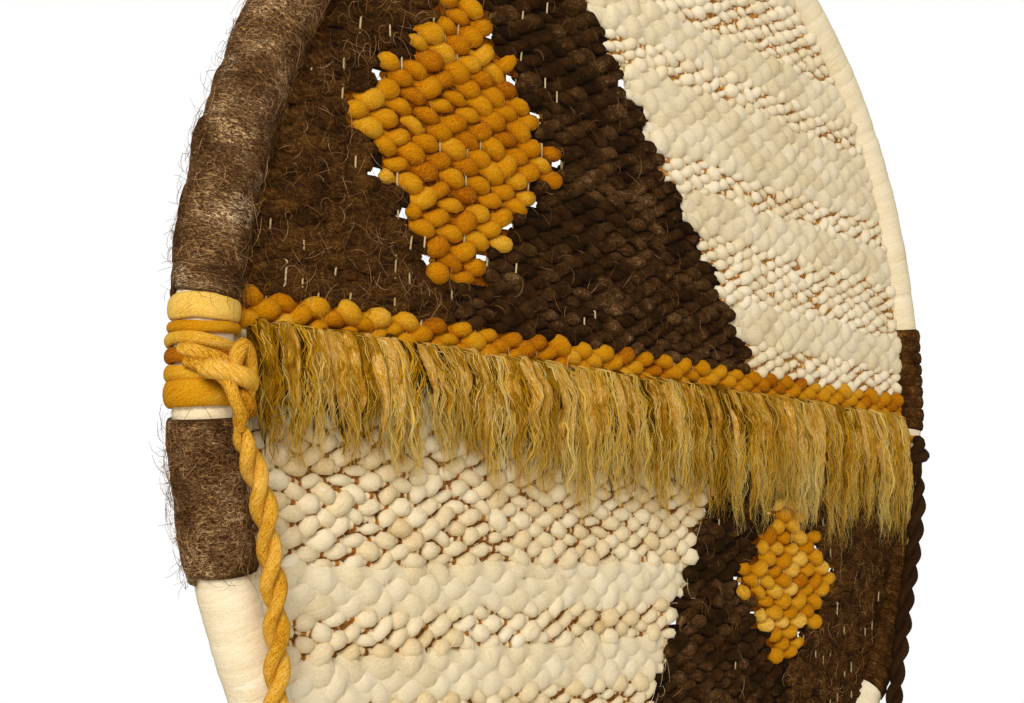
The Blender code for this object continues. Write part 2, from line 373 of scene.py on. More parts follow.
def feltMaterial(look):
    # Hairy wool: dark and matt under tangled hairs that mostly run along the strand. Contour lines of
    # noise draw them, in layers.
    material, tree, shader, read, solid = newMaterial(look["name"], "rim", "along", "tone")
    around = addNode(tree, "ShaderNodeVectorMath", {1: [look["strandRadius"] * mm] * 2 + [0.0]},
                     {0: read["rim"]["Vector"]}, operation="MULTIPLY")
    strand = strandSpot(tree, around, read["along"]["Fac"])
    hairs = None
    for shift, (size, width, weight) in zip((3.0, 11.0, 29.0, 47.0, 61.0), look["hairLayers"]):
        scale = [1 / (size * mm)] * 2 + [1 / (look["lie"] * size * mm)]
        moved = addNode(tree, "ShaderNodeMapping", {"Location": (shift, shift * 0.7, -shift), "Scale": scale},
                        {"Vector": strand})
        field = addNode(tree, "ShaderNodeTexNoise", {"Scale": 1.0, "Detail": 0.6,
                                                     "Distortion": look["tangle"]}, {"Vector": moved})
        middle = addNode(tree, "ShaderNodeMath", {1: 0.5}, {0: field}, operation="SUBTRACT")
        away = addNode(tree, "ShaderNodeMath", links={0: middle}, operation="ABSOLUTE")
        line = addNode(tree, "ShaderNodeMapRange", {"From Min": 0.0, "From Max": width, "To Min": weight,
                                                    "To Max": 0.0}, {"Value": away},
                       interpolation_type="SMOOTHSTEP")
        if hairs:
            line = addNode(tree, "ShaderNodeMath", links={0: hairs, 1: line}, operation="MAXIMUM")
        hairs = line
    clumps = addNode(tree, "ShaderNodeTexNoise", {"Scale": 1 / (look["clumpSize"] * mm), "Detail": 3.0,
                                                  "Roughness": 0.6}, {"Vector": solid})
    shade = mixedShade(tree, [(clumps, 1.0), (read["tone"]["Fac"], look["toneContrast"])])
    under = addNode(tree, "ShaderNodeValToRGB", links={"Fac": shade}, stops=look["colours"])
    over = addNode(tree, "ShaderNodeValToRGB", links={"Fac": shade}, stops=look["hairColours"])
    colour = addNode(tree, "ShaderNodeMix", data_type="RGBA", links={0: hairs, 6: under, 7: over}).outputs[2]
    if "streakColour" in look:
        core = addNode(tree, "ShaderNodeAttribute", attribute_name="core")
        share = addNode(tree, "ShaderNodeMath", links={0: core.outputs["Fac"], 1: hairs},
                        operation="MULTIPLY")
        colour = addNode(tree, "ShaderNodeMix", {7: linear(look["streakColour"])}, {0: share, 6: colour},
                         data_type="RGBA").outputs[2]
    height = addNode(tree, "ShaderNodeMath", {1: 0.6}, {0: hairs, 2: clumps}, operation="MULTIPLY_ADD")
    finishMaterial(tree, shader, colour, height, (0.9, look["bumpHeight"]), roughness=1.0, lustre=0.1)
    return material


def fibreMaterial(look):
    # Loose hair: one shade for each strand, a little lustre along it.
    material, tree, shader, read, solid = newMaterial(look["name"], "rim", "along", "tone")
    fibreWidth, fibreLength, fibreContrast = look["fibre"]
    blotchSize, blotchContrast = look["blotch"]
    blotches = addNode(tree, "ShaderNodeTexNoise", {"Scale": 1 / (blotchSize * mm), "Detail": 1.0},
                       {"Vector": solid})
    around = addNode(tree, "ShaderNodeVectorMath", {"Scale": 1 / fibreWidth}, {0: read["rim"]["Vector"]},
                     operation="SCALE")
    run = addNode(tree, "ShaderNodeMath", {1: 1 / (fibreLength * mm)}, {0: read["along"]["Fac"]},
                  operation="MULTIPLY")
    moved = addNode(tree, "ShaderNodeMath", {1: 37.0}, {0: read["tone"]["Fac"], 2: run},
                    operation="MULTIPLY_ADD")
    streaks = addNode(tree, "ShaderNodeTexNoise", {"Scale": 1.0, "Detail": 2.0, "Roughness": 0.6},
                      {"Vector": strandSpot(tree, around, moved)})
    shade = mixedShade(tree, [(blotches, blotchContrast), (read["tone"]["Fac"], 1.0),
                              (streaks, fibreContrast)])
    colour = addNode(tree, "ShaderNodeValToRGB", links={"Fac": shade}, stops=look["colours"])
    finishMaterial(tree, shader, colour, streaks, look["bump"], look["roughness"], look["lustre"])
    return material


# In the looks sizes are in mm. fibre: width, length and contrast; fuzz and blotch: size and contrast;
# bump: strength and height; hairLayers: size, width and strength of each.
goldWool = yarnMaterial({
    "name": "gold_single_ply_wool",  # hand-dyed, so its shade drifts from orange to straw
    "colours": [(0.0, "#743A00"), (0.25, "#A66000"), (0.5, "#C08000"), (0.75, "#CE981C"), (1.0, "#E8C264")],
    "strandRadius": 5.0, "twistLength": 70.0, "fibre": (0.42, 7.0, 0.9), "fuzz": (0.8, 0.8),
    "blotch": (26.0, 0.5), "toneContrast": 0.75, "bump": (0.7, 0.5), "roughness": 1.0,
})
brownWool = feltMaterial({
    "name": "dark_brown_single_ply_wool",  # natural brown fleece, its fine hairs raised in places
    "colours": [(0.2, "#1C0F03"), (0.45, "#321D09"), (0.65, "#442A0F"), (0.85, "#583A18")],
    "hairColours": [(0.3, "#38230D"), (0.48, "#4E3519"), (0.6, "#745738"), (0.8, "#A08260")],
    "hairLayers": [(4.6, 0.034, 0.85), (3.0, 0.036, 0.75), (6.4, 0.020, 1.0), (1.9, 0.04, 0.5)],
    "strandRadius": 4.2, "lie": 2.0, "tangle": 2.2, "clumpSize": 15.0, "toneContrast": 0.5, "bumpHeight": 0.8,
})
slubWool = yarnMaterial({
    "name": "cream_slub_wool",  # thick-thin yarn, its brown and rust binder thread bare at the thin places
    "colours": [(0.0, "#BE9862"), (0.35, "#DDC89E"), (0.6, "#EBDFC4"), (1.0, "#FCF5E6")],
    "coreColours": [(0.2, "#482810"), (0.4, "#8A5016"), (0.6, "#BC7A26"), (0.8, "#D8A660")],
    "strandRadius": 4.6, "twistLength": 80.0, "fibre": (0.5, 6.0, 0.6), "fuzz": (0.9, 0.5),
    "blotch": (40.0, 0.3), "toneContrast": 0.5, "bump": (0.6, 0.5), "roughness": 1.0,
})
creamRoving = yarnMaterial({
    "name": "cream_roving",  # unspun fleece, soft and nearly even
    "colours": [(0.0, "#CCB488"), (0.4, "#E6D9BA"), (0.7, "#F0E6D0"), (1.0, "#FAF4E8")],
    "strandRadius": 6.0, "twistLength": 160.0, "fibre": (0.6, 10.0, 0.6), "fuzz": (1.1, 0.6),
    "blotch": (26.0, 0.4), "toneContrast": 0.4, "bump": (0.7, 0.6), "roughness": 1.0,
})
bindingWool = yarnMaterial({
    "name": "cream_binding_wool",  # soft yarn wound flat, fine lines along each turn
    "colours": [(0.0, "#C8B288"), (0.4, "#ECDFC2"), (0.7, "#F8EFDC"), (1.0, "#FFFAF0")],
    "strandRadius": 7.0, "twistLength": 400.0, "fibre": (0.7, 16.0, 0.9), "fuzz": (1.0, 0.5),
    "blotch": (30.0, 0.3), "toneContrast": 0.5, "bump": (0.6, 0.4), "roughness": 0.95,
})
goldCordWool = yarnMaterial({
    "name": "gold_two_ply_wool",  # hard-twisted plies of the gold wool, short pale fibres over them
    "colours": [(0.0, "#703E00"), (0.3, "#BE8210"), (0.55, "#E4AC38"), (0.8, "#F0C468"), (1.0, "#F8E0A4")],
    "strandRadius": 3.6, "twistLength": -34.0, "fibre": (0.42, 6.0, 1.5), "fuzz": (0.8, 0.9),
    "blotch": (20.0, 0.5), "toneContrast": 0.7, "bump": (0.9, 0.7), "roughness": 1.0,
})
darkCordWool = yarnMaterial({
    "name": "dark_brown_two_ply_wool",  # the same cord in dark brown
    "colours": [(0.0, "#140A04"), (0.4, "#2A1808"), (0.7, "#3C2610"), (1.0, "#684826")],
    "strandRadius": 3.6, "twistLength": -34.0, "fibre": (0.55, 5.0, 1.0), "fuzz": (1.0, 0.4),
    "blotch": (20.0, 0.3), "toneContrast": 0.6, "bump": (0.9, 0.6), "roughness": 1.0,
})
warpTwine = yarnMaterial({
    "name": "cotton_warp_twine",  # smooth and pale, tight
    "colours": [(0.0, "#8E7A50"), (0.5, "#B8A67C"), (1.0, "#D6C8A4")],
    "strandRadius": 0.75, "twistLength": 4.0, "fibre": (0.4, 2.0, 0.6), "fuzz": (0.6, 0.3),
    "blotch": (20.0, 0.2), "toneContrast": 0.5, "bump": (0.4, 0.15), "roughness": 0.8,
})
feltedRoving = feltMaterial({
    "name": "felted_brown_roving",  # thick and soft, red-brown hairs matted over it
    "colours": [(0.3, "#221205"), (0.5, "#37200A"), (0.7, "#4C2F10")],
    "hairColours": [(0.35, "#523416"), (0.5, "#6E4A22"), (0.65, "#8E6430")],
    "hairLayers": [(3.6, 0.040, 0.7), (2.4, 0.045, 0.6), (5.5, 0.022, 0.95), (1.6, 0.06, 0.5)],
    "strandRadius": 3.9, "lie": 2.2, "tangle": 1.4, "clumpSize": 12.0, "toneContrast": 0.1, "bumpHeight": 0.8,
})
# Paler than the felted roving: partly its raised hairs, partly painted light from the lamp at the left.
feltedSleeveWithPaintedLight = feltMaterial({
    "name": "felted_brown_sleeve_painted_light",  # the same roving wound round the hoop, more hairs, painted light
    "colours": [(0.3, "#241307"), (0.5, "#3C2210"), (0.7, "#563214")],
    "hairColours": [(0.35, "#7E5A36"), (0.5, "#B08A5E"), (0.65, "#E6C598")],
    "hairLayers": [(3.4, 0.034, 0.8), (2.3, 0.038, 0.75), (5.2, 0.020, 1.0), (1.6, 0.05, 0.6),
                   (4.1, 0.022, 1.0)],
    "strandRadius": 8.0, "lie": 2.5, "tangle": 1.9, "clumpSize": 22.0, "toneContrast": 0.1, "bumpHeight": 0.8,
    "streakColour": "#DCC0A0",
})
mohair = fibreMaterial({
    "name": "straw_mohair",  # long curly goat hair, dyed straw over gold
    "colours": [(0.0, "#402400"), (0.25, "#885A00"), (0.5, "#C8920A"), (0.75, "#EABE40"), (1.0, "#FFEA9E")],
    "blotch": (30.0, 0.3), "fibre": (0.3, 7.0, 0.8), "bump": (0.6, 0.8), "roughness": 0.8, "lustre": 0.08,
})
# Its darkest colours are painted shade, for the depth of the locks.
mohairDepthWithPaintedShade = feltMaterial({
    "name": "gold_mohair_underlayer_painted_shade",  # the mass of hair in each lock, crimped hairs drawn over it
    "colours": [(0.2, "#2E1A00"), (0.4, "#684400"), (0.6, "#A06A00"), (0.8, "#CE9010")],
    "hairColours": [(0.2, "#7E5400"), (0.45, "#C28C10"), (0.65, "#E8BC50"), (0.85, "#FCEAA8")],
    "hairLayers": [(2.6, 0.05, 0.8), (1.8, 0.05, 0.6), (4.0, 0.03, 0.9), (1.2, 0.07, 0.5)],
    "strandRadius": 6.5, "lie": 3.6, "tangle": 0.9, "clumpSize": 11.0, "toneContrast": 0.9, "bumpHeight": 0.7,
})
# Single hairs that stand off the wool, each in one shade, with a faint lustre.
looseFibre = {"blotch": (20.0, 0.4), "fibre": (0.3, 9.0, 0.0), "bump": (0.0, 0.0), "lustre": 0.1}
looseHair = fibreMaterial({
    **looseFibre, "name": "loose_brown_hair", "roughness": 0.8,
    "colours": [(0.0, "#3E2814"), (0.45, "#6E4A26"), (0.8, "#987044"), (1.0, "#CCA67C")],
})
goldHair = fibreMaterial({
    **looseFibre, "name": "loose_gold_fibre", "roughness": 0.9,
    "colours": [(0.0, "#B47408"), (0.5, "#D09428"), (1.0, "#E8BC60")],
})
creamHair = fibreMaterial({
    **looseFibre, "name": "loose_cream_fibre", "roughness": 0.9,
    "colours": [(0.0, "#E4D4B0"), (0.5, "#F0E4C8"), (1.0, "#FBF4E4")],
})


print("cords")

# The cords' routes repeat the solids' own.
goldRoute = [
    (-348.4, -43.3, 26.6), (-344.0, -53.0, 25.7), (-336.8, -64.0, 24.4), (-330.0, -80.0, 23.8),
    (-325.0, -103.0, 23.8), (-321.0, -121.0, 23.4), (-317.6, -144.0, 22.6), (-316.0, -166.0, 21.6),
    (-315.2, -190.0, 20.3), (-314.8, -220.0, 19.0), (-314.5, -250.0, 18.0), (-314.4, -280.0, 17.4),
    (-314.3, -308.0, 17.0),
]
brownRoute = [
    (333.0, -39.6, 20.8), (331.0, -56.0, 22.2), (326.2, -76.0, 23.2), (320.6, -98.0, 23.6),
    (311.5, -125.0, 23.6), (304.2, -150.0, 23.4), (298.2, -172.0, 23.4), (293.2, -192.0, 23.4),
    (289.6, -210.0, 22.6), (287.0, -232.0, 20.8), (285.8, -256.0, 19.2), (285.2, -282.0, 18.0),
    (285.0, -308.0, 17.4),
]
cordSettings = {
    "diameter": 12.0, "plyRadius": 3.35, "plyOffset": 3.0, "twistLength": 37.0, "step": 2.6, "sides": 10,
    "uneven": 0.09, "unevenLength": 16.0, "shadeDrift": 0.22, "start": 0.45, "startLength": 12.0,
}
cordEnd = {
    "knotRadius": 5.6, "knotYarn": 3.2, "knotTurns": 1.6, "knotPoints": 34, "knotDrop": 4.2, "tuftTop": 16.5,
    "tuftLength": 26.0, "tuftStrands": 34, "tuftPoints": 8, "tuftSpread": 8.0, "strandRadius": 0.7,
    "heart": [(0.5, 4.6), (4, 5.4), (9, 5.4), (14, 5.0), (18, 3.4)],  # how far down, and its radius there
}


def plyStrands(points, settings):
    # Two plies wound about the cord's middle line.
    strands = []
    runs = [0.0]
    for start, end in zip(points, points[1:]):
        runs.append(runs[-1] + (end - start).length / mm)
    for ply in range(2):
        strand = []
        for index, point in enumerate(points):
            ahead = points[min(index + 1, len(points) - 1)] - points[max(index - 1, 0)]
            ahead.normalize()
            side = ahead.cross(Vector((0, 1, 0))).normalized()
            front = side.cross(ahead)
            run = runs[index]
            turn = pi * ply - 2 * pi * run / settings["twistLength"]
            swell = 1 + settings["uneven"] * drift(run / settings["unevenLength"], ply * 7.0, len(points))
            swell *= blend(settings["start"], 1.0, ease(0, settings["startLength"], run))
            away = settings["plyOffset"] * swell * (side * cos(turn) + front * sin(turn))
            tone = 0.5 + settings["shadeDrift"] * drift(run / 30, ply * 5.0, 2.0)
            strand.append(Spot(point + away * mm, settings["plyRadius"] * swell, tone))
        strands.append(strand)
    return strands


def makeCordEnd(name, top, material, chance):
    # An overhand knot over the cord's end, with frayed plies below it.
    ring = []
    last = cordEnd["knotPoints"] - 1
    for part in range(cordEnd["knotPoints"]):
        turn = 2 * pi * cordEnd["knotTurns"] * part / last
        wide = cordEnd["knotRadius"] * (0.92 + 0.12 * sin(2.1 * turn))
        down = -4.6 - cordEnd["knotDrop"] * part / last - 2.4 * sin(turn + 0.6)
        at = top + Vector((wide * cos(turn), wide * sin(turn), down)) * mm
        ring.append(Spot(at, cordEnd["knotYarn"] * (1 + 0.05 * sin(turn * 3)), 0.55))
    heart = [Spot(top + Vector((0, 0, -down)) * mm, radius, 0.4) for down, radius in cordEnd["heart"]]
    tuft = []
    for number in range(cordEnd["tuftStrands"]):
        heading = chance.uniform(0, 2 * pi)
        spread = cordEnd["tuftSpread"] * sqrt(chance.uniform(0.02, 1))
        length = cordEnd["tuftLength"] * chance.uniform(0.8, 1.0)
        wave = chance.uniform(0, 2 * pi)
        shade = chance.uniform(0.25, 0.85)
        strand = []
        for part in range(cordEnd["tuftPoints"]):
            share = part / (cordEnd["tuftPoints"] - 1)
            out = 2.6 * min(1, spread / 4) + (spread - 2.6) * share ** 0.8
            out += 0.5 * sin(wave + 9 * share)
            turn = heading + 0.25 * share
            at = Vector((out * cos(turn), out * sin(turn), -cordEnd["tuftTop"] - length * share))
            strand.append(Spot(top + at * mm, cordEnd["strandRadius"] * (1 - 0.5 * share), shade))
        tuft.append(strand)
    bound = sweep(name + "_knot", [ring, heart], material)
    frayed = sweep(name + "_tuft", tuft, material, sides=4)
    return bound, frayed


def makeCord(name, route, node, endNode, material, seed):
    # A two-ply cord on its route, with its knot and tuft.
    chance = random.Random(seed)
    fixed = [place(*point) for point in route]
    points, length = smoothRoute(fixed, cordSettings["step"] * mm)
    cord = sweep(name, plyStrands(points, cordSettings), material, sides=cordSettings["sides"])
    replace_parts(cord, node)
    top = points[-1] - Vector((0, 0, 0.0003))
    knot, tuft = makeCordEnd(name, top, material, chance)
    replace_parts(knot, endNode)


makeCord("gold_cord", goldRoute, "cord_gold", "end_gold", goldCordWool, 21)
makeCord("dark_brown_cord", brownRoute, "cord_brown", "end_brown", darkCordWool, 22)


print("web")

web = {
    "warpPitch": 10.6,
    "middle": 3.0,         # forward of the tube's middle
    "rim": 338.0,          # rows end this far out, inside the binding
    "steps": 15,           # of the design, up and down from the gold rows in the middle
    "stepHeight": 22.4,
    "cellUp": 5.6,         # height of the ground's cells
    "goldSlits": 0.6,      # chance that a slit is open beside a gold step,
    "otherSlits": 0.07,    # and beside the others
    "slitReach": 5.0,      # rows this near an open slit stop short of it
    "shadeDrift": 0.24,    # how much the shade changes slowly over a yarn,
    "shadeSpread": 0.13,   # and from bead to bead
    "bareWarpGap": 12.0,   # least distance between bare places on one warp,
    "bareWarpRim": 12.0,   # and from them to the rim
    "nearRim": 3.0,        # a step that comes this near the rim runs on to it
    "shortestRow": 9.0,
    "hairSquare": 330.0,   # loose hairs are sown over a square of this half width,
    "hairReach": 326.0,    # and those inside this circle stay
}
# rows: in each step of the design; radius: of a bead; swing: how far it comes forward of the warps; pinch:
# the share of its thickness left where a warp crosses in front; spread, stray, tilt and slant: how beads
# differ; quarters: points from warp to warp; warpShows: chance that a bare warp shows, warpRise forward;
# endPaintedShade: painted shade, how much darker a bead grows towards its ends where it goes behind the
# warps; paleAbove: paler by this above the fringe; paintedLightBelow: painted light, paler by this below
# the fringe, where the fringe shades the rows.
yarnColumns = ("rows", "radius", "swing", "pinch", "spread", "stray", "tilt", "slant", "quarters",
               "warpShows", "warpRise", "endPaintedShade", "paleAbove", "paintedLightBelow")
yarnTable = {
    "gold":     (3, 4.95, 2.3, 0.46, 0.13, 0.45, 0.3, 1.1, 4, 0.16, 2.0, 0.22, 0.00, 0.22),
    "brown":    (4, 4.20, 1.5, 0.58, 0.14, 0.40, 0.3, 0.9, 3, 0.03, 3.4, 0.10, 0.00, 0.00),
    "felt":     (5, 3.90, 0.9, 0.84, 0.14, 0.40, 0.2, 0.4, 3, 0.18, 3.5, 0.00, 0.00, 0.00),
    "slub":     (4, 4.50, 1.8, 0.47, 0.20, 0.60, 0.5, 1.4, 4, 0.00, 0.0, 0.14, 0.00, 0.00),
    "fineSlub": (5, 3.60, 1.8, 0.43, 0.22, 0.50, 0.4, 1.2, 4, 0.00, 0.0, 0.10, 0.38, 0.38),
    "roving":   (3, 7.40, 0.9, 0.80, 0.12, 0.70, 0.3, 1.2, 3, 0.00, 0.0, 0.05, 0.00, 0.00),
}
yarns = {name: dict(zip(yarnColumns, row)) for name, row in yarnTable.items()}
thickThin = ("slub", "fineSlub")  # the slubs are thick and thin by turns
# neckChance: that a bead is parted in two, bareNeck: that the binder shows there; bareChance: that it
# shows where a warp crosses, bareDepth forward of the warps.
slub = {
    "neckChance": 0.7, "neck": 0.58, "bareNeck": 0.55, "neckRadius": 1.5, "bareChance": 0.95,
    "bareRadius": (0.8, 1.6), "bareDepth": (0.6, 2.0),
}
# How a row ends past its edge warp: out, forward, and the share of its thickness left. Roving is laid
# in, its ends drawn out to a point, in mm; other yarn ends in a rounded loop, in warp pitches and swings.
drawnEnd = [(1.0, 0.3, 0.62), (4.5, 0.0, 0.36), (6.5, -0.5, 0.1)]
loopEnd = [(0.25, 0.6, 0.94), (0.42, 0.1, 0.74), (0.52, -0.3, 0.46), (0.56, -0.5, 0.12)]

# The design has a half above the gold rows in the middle and one below. Cream bands fill one side of
# a half up to a stepped join. A gold lozenge stands in the other side, with a brown yarn each side of it.
# base: where the first step starts; join: the gap between warps that the join starts at, and how far
# it moves each step; lozenge: its middle gap, first step and number of steps.
bandYarns = {"f": "fineSlub", "s": "slub", "r": "roving"}
halves = [
    {"base": 20.8, "upward": 1, "bands": "frffrfrrfrffrfr", "bandsRight": True, "join": (10, -2),
     "beside": ("felt", "brown"), "lozenge": (-18, 1, 7)},
    {"base": 4.0, "upward": -1, "bands": "sssssrsrssrrsrs", "bandsRight": False, "join": (8, -1),
     "beside": ("brown", "felt"), "lozenge": (15, 3, 5)},
]


def fieldsOf(half, step):
    # (yarn, left, right) for one step. A side is a gap between warps, or None at the rim.
    join = half["join"][0] + half["join"][1] * step
    middle, firstStep, steps = half["lozenge"]
    first, last = half["beside"]
    bandEnds, left, right = ((join, None), None, join) if half["bandsRight"] else ((None, join), join, None)
    fields = [(bandYarns[half["bands"][step]], *bandEnds)]
    wide = 2 * min(step - firstStep + 1, firstStep + steps - step)
    if wide <= 0:
        return fields + [(first, left, middle), (last, middle, right)]
    return fields + [(first, left, middle - wide), ("gold", middle - wide, middle + wide),
                     (last, middle + wide, right)]


def settled(across, up, forward):
    # The rows of a hand-woven web wander a little.
    calm = ease(6, 40, abs(up - 8))
    moved = up + 1.5 * calm * drift(across / 85, up / 70, 3.0)
    return place(across + 0.8 * calm * drift(across / 60, up / 60, 9.0), moved, forward)


def findSlits():
    # Two yarns that end at neighbouring warps leave a slit between them. Gives those that stand open:
    # the gap, and the ground's cell.
    chance = random.Random(6)
    found = []
    for half in halves:
        for step in range(web["steps"]):
            for name, left, right in fieldsOf(half, step):
                likely = web["goldSlits" if name == "gold" else "otherSlits"]
                for gap in (left, right):
                    up = half["base"] + half["upward"] * (step + chance.uniform(0.3, 0.7)) * web["stepHeight"]
                    if gap is not None and chance.random() < likely:
                        found.append((gap, floor(up / web["cellUp"])))
    return found


openSlits = findSlits()
strandsOf = {name: [] for name in yarns}
bareWarps = []


def makeBead(name, warp, up, rowPitch, chance):
    # What one bead of a row is like, from the warp before to the warp after. neckAt 9: no neck.
    yarn = yarns[name]
    shade = 0.5 + web["shadeDrift"] * drift(warp / 9, up / 9, 5.0) + web["shadeSpread"] * chance.gauss(0, 1)
    # paintedLightBelow is painted light: rows below the fringe, in its shade, are made paler
    shade += yarn["paintedLightBelow" if up < 0 else "paleAbove"]
    spread = yarn["spread"] * min(1.8, max(-1.8, chance.gauss(0, 1)))
    bead = {
        "radius": min(yarn["radius"], rowPitch) * (1 + spread), "tone": min(1.0, max(0.0, shade)),
        "stray": yarn["stray"] * chance.gauss(0, 1),
        "tilt": yarn["tilt"] + yarn["slant"] * chance.gauss(0, 1),
        "neckAt": chance.choice((-0.5, 0.5)) if chance.random() < slub["neckChance"] else 9.0,
        "bareNeck": chance.random() < slub["bareNeck"], "bareEnd": None,
    }
    if name in thickThin and chance.random() < slub["bareChance"]:
        bead["bareEnd"] = (chance.uniform(*slub["bareRadius"]), chance.uniform(*slub["bareDepth"]))
    return bead


def weaveBlock(name, bottom, height, rowCount, below, left, right, chance):
    # Rows of one yarn between two sides of one step. below: how many rows lie under these, so that the
    # rows keep going over and under each warp in turn.
    yarn = yarns[name]
    pitch = web["warpPitch"]
    rowPitch = height / rowCount
    quarter = pitch / yarn["quarters"]
    for row in range(rowCount):
        up = bottom + (row + 0.5) * rowPitch
        rim = sqrt(max(0.0, web["rim"] ** 2 - up * up))
        odd = (below + row) % 2
        leftRim = left is None or (left + 1) * pitch < -rim + web["nearRim"]
        rightRim = right is None or right * pitch > rim - web["nearRim"]
        start = -rim if leftRim else (left + 1) * pitch
        end = rim if rightRim else right * pitch
        if end - start < web["shortestRow"] or start > rim or end < -rim:
            continue
        beads = {warp: makeBead(name, warp, up, rowPitch, chance)
                 for warp in range(floor(start / pitch) - 2, floor(end / pitch) + 4)}
        lean = chance.uniform(-1.5, 1.5)

        def spotAt(across, lift=0.0, depth=None, size=1.0):
            # along: from the warp this bead lies over, to -1 and 1 at those it goes behind.
            over = 2 * floor((across / pitch - odd) / 2 + 0.5) + odd
            along = across / pitch - over
            bead = beads[over]
            radius = bead["radius"]
            rise = bead["stray"] + bead["tilt"] * sin(pi * along)
            # painted shade: the bead grows darker towards its ends, where it goes behind the warps
            tone = max(0.0, bead["tone"] - yarn["endPaintedShade"] * ease(0.4, 1.0, abs(along)))
            core = 0.0
            if depth is None:
                radius *= blend(1.0, yarn["pinch"], abs(along) ** 2.4)
                front = cos(pi * along)
                depth = yarn["swing"] * front * sqrt(abs(front)) * (1.0 if front > 0 else 0.45)
                if name in thickThin and abs(along - bead["neckAt"]) < 0.1:
                    radius = slub["neckRadius"] if bead["bareNeck"] else radius * slub["neck"]
                    core = 0.9 if bead["bareNeck"] else 0.0
                if abs(along) > 0.98 and bead["bareEnd"]:
                    radius, depth = bead["bareEnd"]
                    core = 1.0
            radius *= size
            if name in ("felt", "roving"):
                radius *= 1 + 0.12 * drift(across / 7, up / 5, 17.0)
            if name == "felt":
                depth += 1.2 * drift(across / 16, up / 9, 23.0)
            at = settled(across, up + rise + lift, web["middle"] + depth)
            return Spot(at, radius, tone, core, (0, -1, 0))

        def endSpots(edge, side, isRim, gap):
            # At the rim, at an open slit, then the yarn's own ending.
            if isRim:
                return [spotAt(edge, depth=0.0, size=0.7)]
            if any(gap == slit and abs(up - (cell + 0.5) * web["cellUp"]) < web["slitReach"]
                   for slit, cell in openSlits):
                return [spotAt(edge + side * 0.5, depth=0.0, size=0.42)]
            if name == "roving":
                return [spotAt(edge + side * out, depth=depth, size=size) for out, depth, size in drawnEnd]
            if cos(pi * (edge / pitch - odd)) < 0:
                return [spotAt(edge + side * 0.25 * pitch, depth=-0.4 * yarn["swing"], size=0.35)]
            return [spotAt(edge + side * out * pitch, lean * out, share * yarn["swing"], size)
                    for out, share, size in loopEnd]

        inner = [round(start / quarter) * quarter + quarter * index
                 for index in range(floor((end - start) / quarter) + 2)]
        low = start + (2 if leftRim else -0.01)
        high = end - (2 if rightRim else -0.01)
        inner = [across for across in inner if low <= across <= high]
        reach = 14.0 * chance.uniform(0.7, 1.2)
        middle = []
        for across in inner:
            spot = spotAt(across)
            if name == "roving":
                near = min(1.0 if leftRim else blend(0.62, 1.0, ease(0, reach, across - start)),
                           1.0 if rightRim else blend(0.62, 1.0, ease(0, reach, end - across)))
                spot = spot._replace(radius=spot.radius * near)
            middle.append(spot)
        first = endSpots(start, -1, leftRim, left)[::-1]
        strandsOf[name].append(first + middle + endSpots(end, 1, rightRim, right))
        for warp in range(floor(start / pitch) + 1, floor(end / pitch) + 1):
            behind = (warp - odd) % 2 == 1 and abs(warp * pitch) < rim - web["bareWarpRim"]
            if behind and chance.random() < yarn["warpShows"]:
                bareWarps.append((warp, up, yarn["warpRise"]))


def weaveWeb():
    chance = random.Random(3)
    height = web["stepHeight"]
    for step in range(web["steps"]):
        for half in halves:
            level = step if half["upward"] > 0 else -1 - step
            bottom = half["base"] + level * height
            for name, left, right in fieldsOf(half, step):
                count = yarns[name]["rows"]
                weaveBlock(name, bottom, height, count, level * count, left, right, chance)
    top, bottom = (half["base"] for half in halves)
    weaveBlock("gold", bottom, top - bottom, 3, -3, None, None, chance)


def makeWarps():
    # Each warp runs down the middle of the web and comes to the front where it is bare.
    chance = random.Random(4)
    strands = []
    pitch = web["warpPitch"]
    reach = floor(web["rim"] / pitch)
    for warp in range(-reach, reach + 1):
        across = warp * pitch
        rim = sqrt(web["rim"] ** 2 - across * across)
        strand = [Spot(place(across, -rim, web["middle"]), 0.75)]
        lastUp = -1e9
        for up, rise in sorted((up, rise) for column, up, rise in bareWarps if column == warp):
            if up - lastUp < web["bareWarpGap"]:
                continue
            lastUp = up
            half = chance.uniform(2.2, 6.0)
            shade = chance.uniform(0.2, 0.9)
            lean = chance.uniform(-0.4, 0.4)
            for along, share in ((-half - 1.8, 0.0), (-half, 0.93), (half, 1.0), (half + 1.8, 0.0)):
                at = settled(across + lean * along / half, up + along, web["middle"] + rise * share)
                strand.append(Spot(at, 0.55, shade))
        strand.append(Spot(place(across, rim, web["middle"]), 0.75))
        strands.append(strand)
    return sweep("cotton_warps", strands, warpTwine, sides=5)


def fieldAt(across, up):
    # Which yarn lies at a place.
    for half in halves:
        beyond = half["upward"] * (up - half["base"])
        if beyond <= 0:
            continue
        for name, left, right in fieldsOf(half, min(web["steps"] - 1, floor(beyond / web["stepHeight"]))):
            insideLeft = left is None or across > (left + 0.5) * web["warpPitch"]
            insideRight = right is None or across < (right + 0.5) * web["warpPitch"]
            if insideLeft and insideRight:
                return name
        return "brown"
    return "gold"


# The ground's colour under each yarn: darker than the yarn, painted shade of the rows over it; under the
# slubs also the brown and rust of their binder.
groundColoursWithPaintedShade = {
    "gold": "#7A4404", "brown": "#1C1008", "felt": "#24160A", "slub": "#8E5E2A", "fineSlub": "#BC8A4C",
    "roving": "#D8C49A",
}


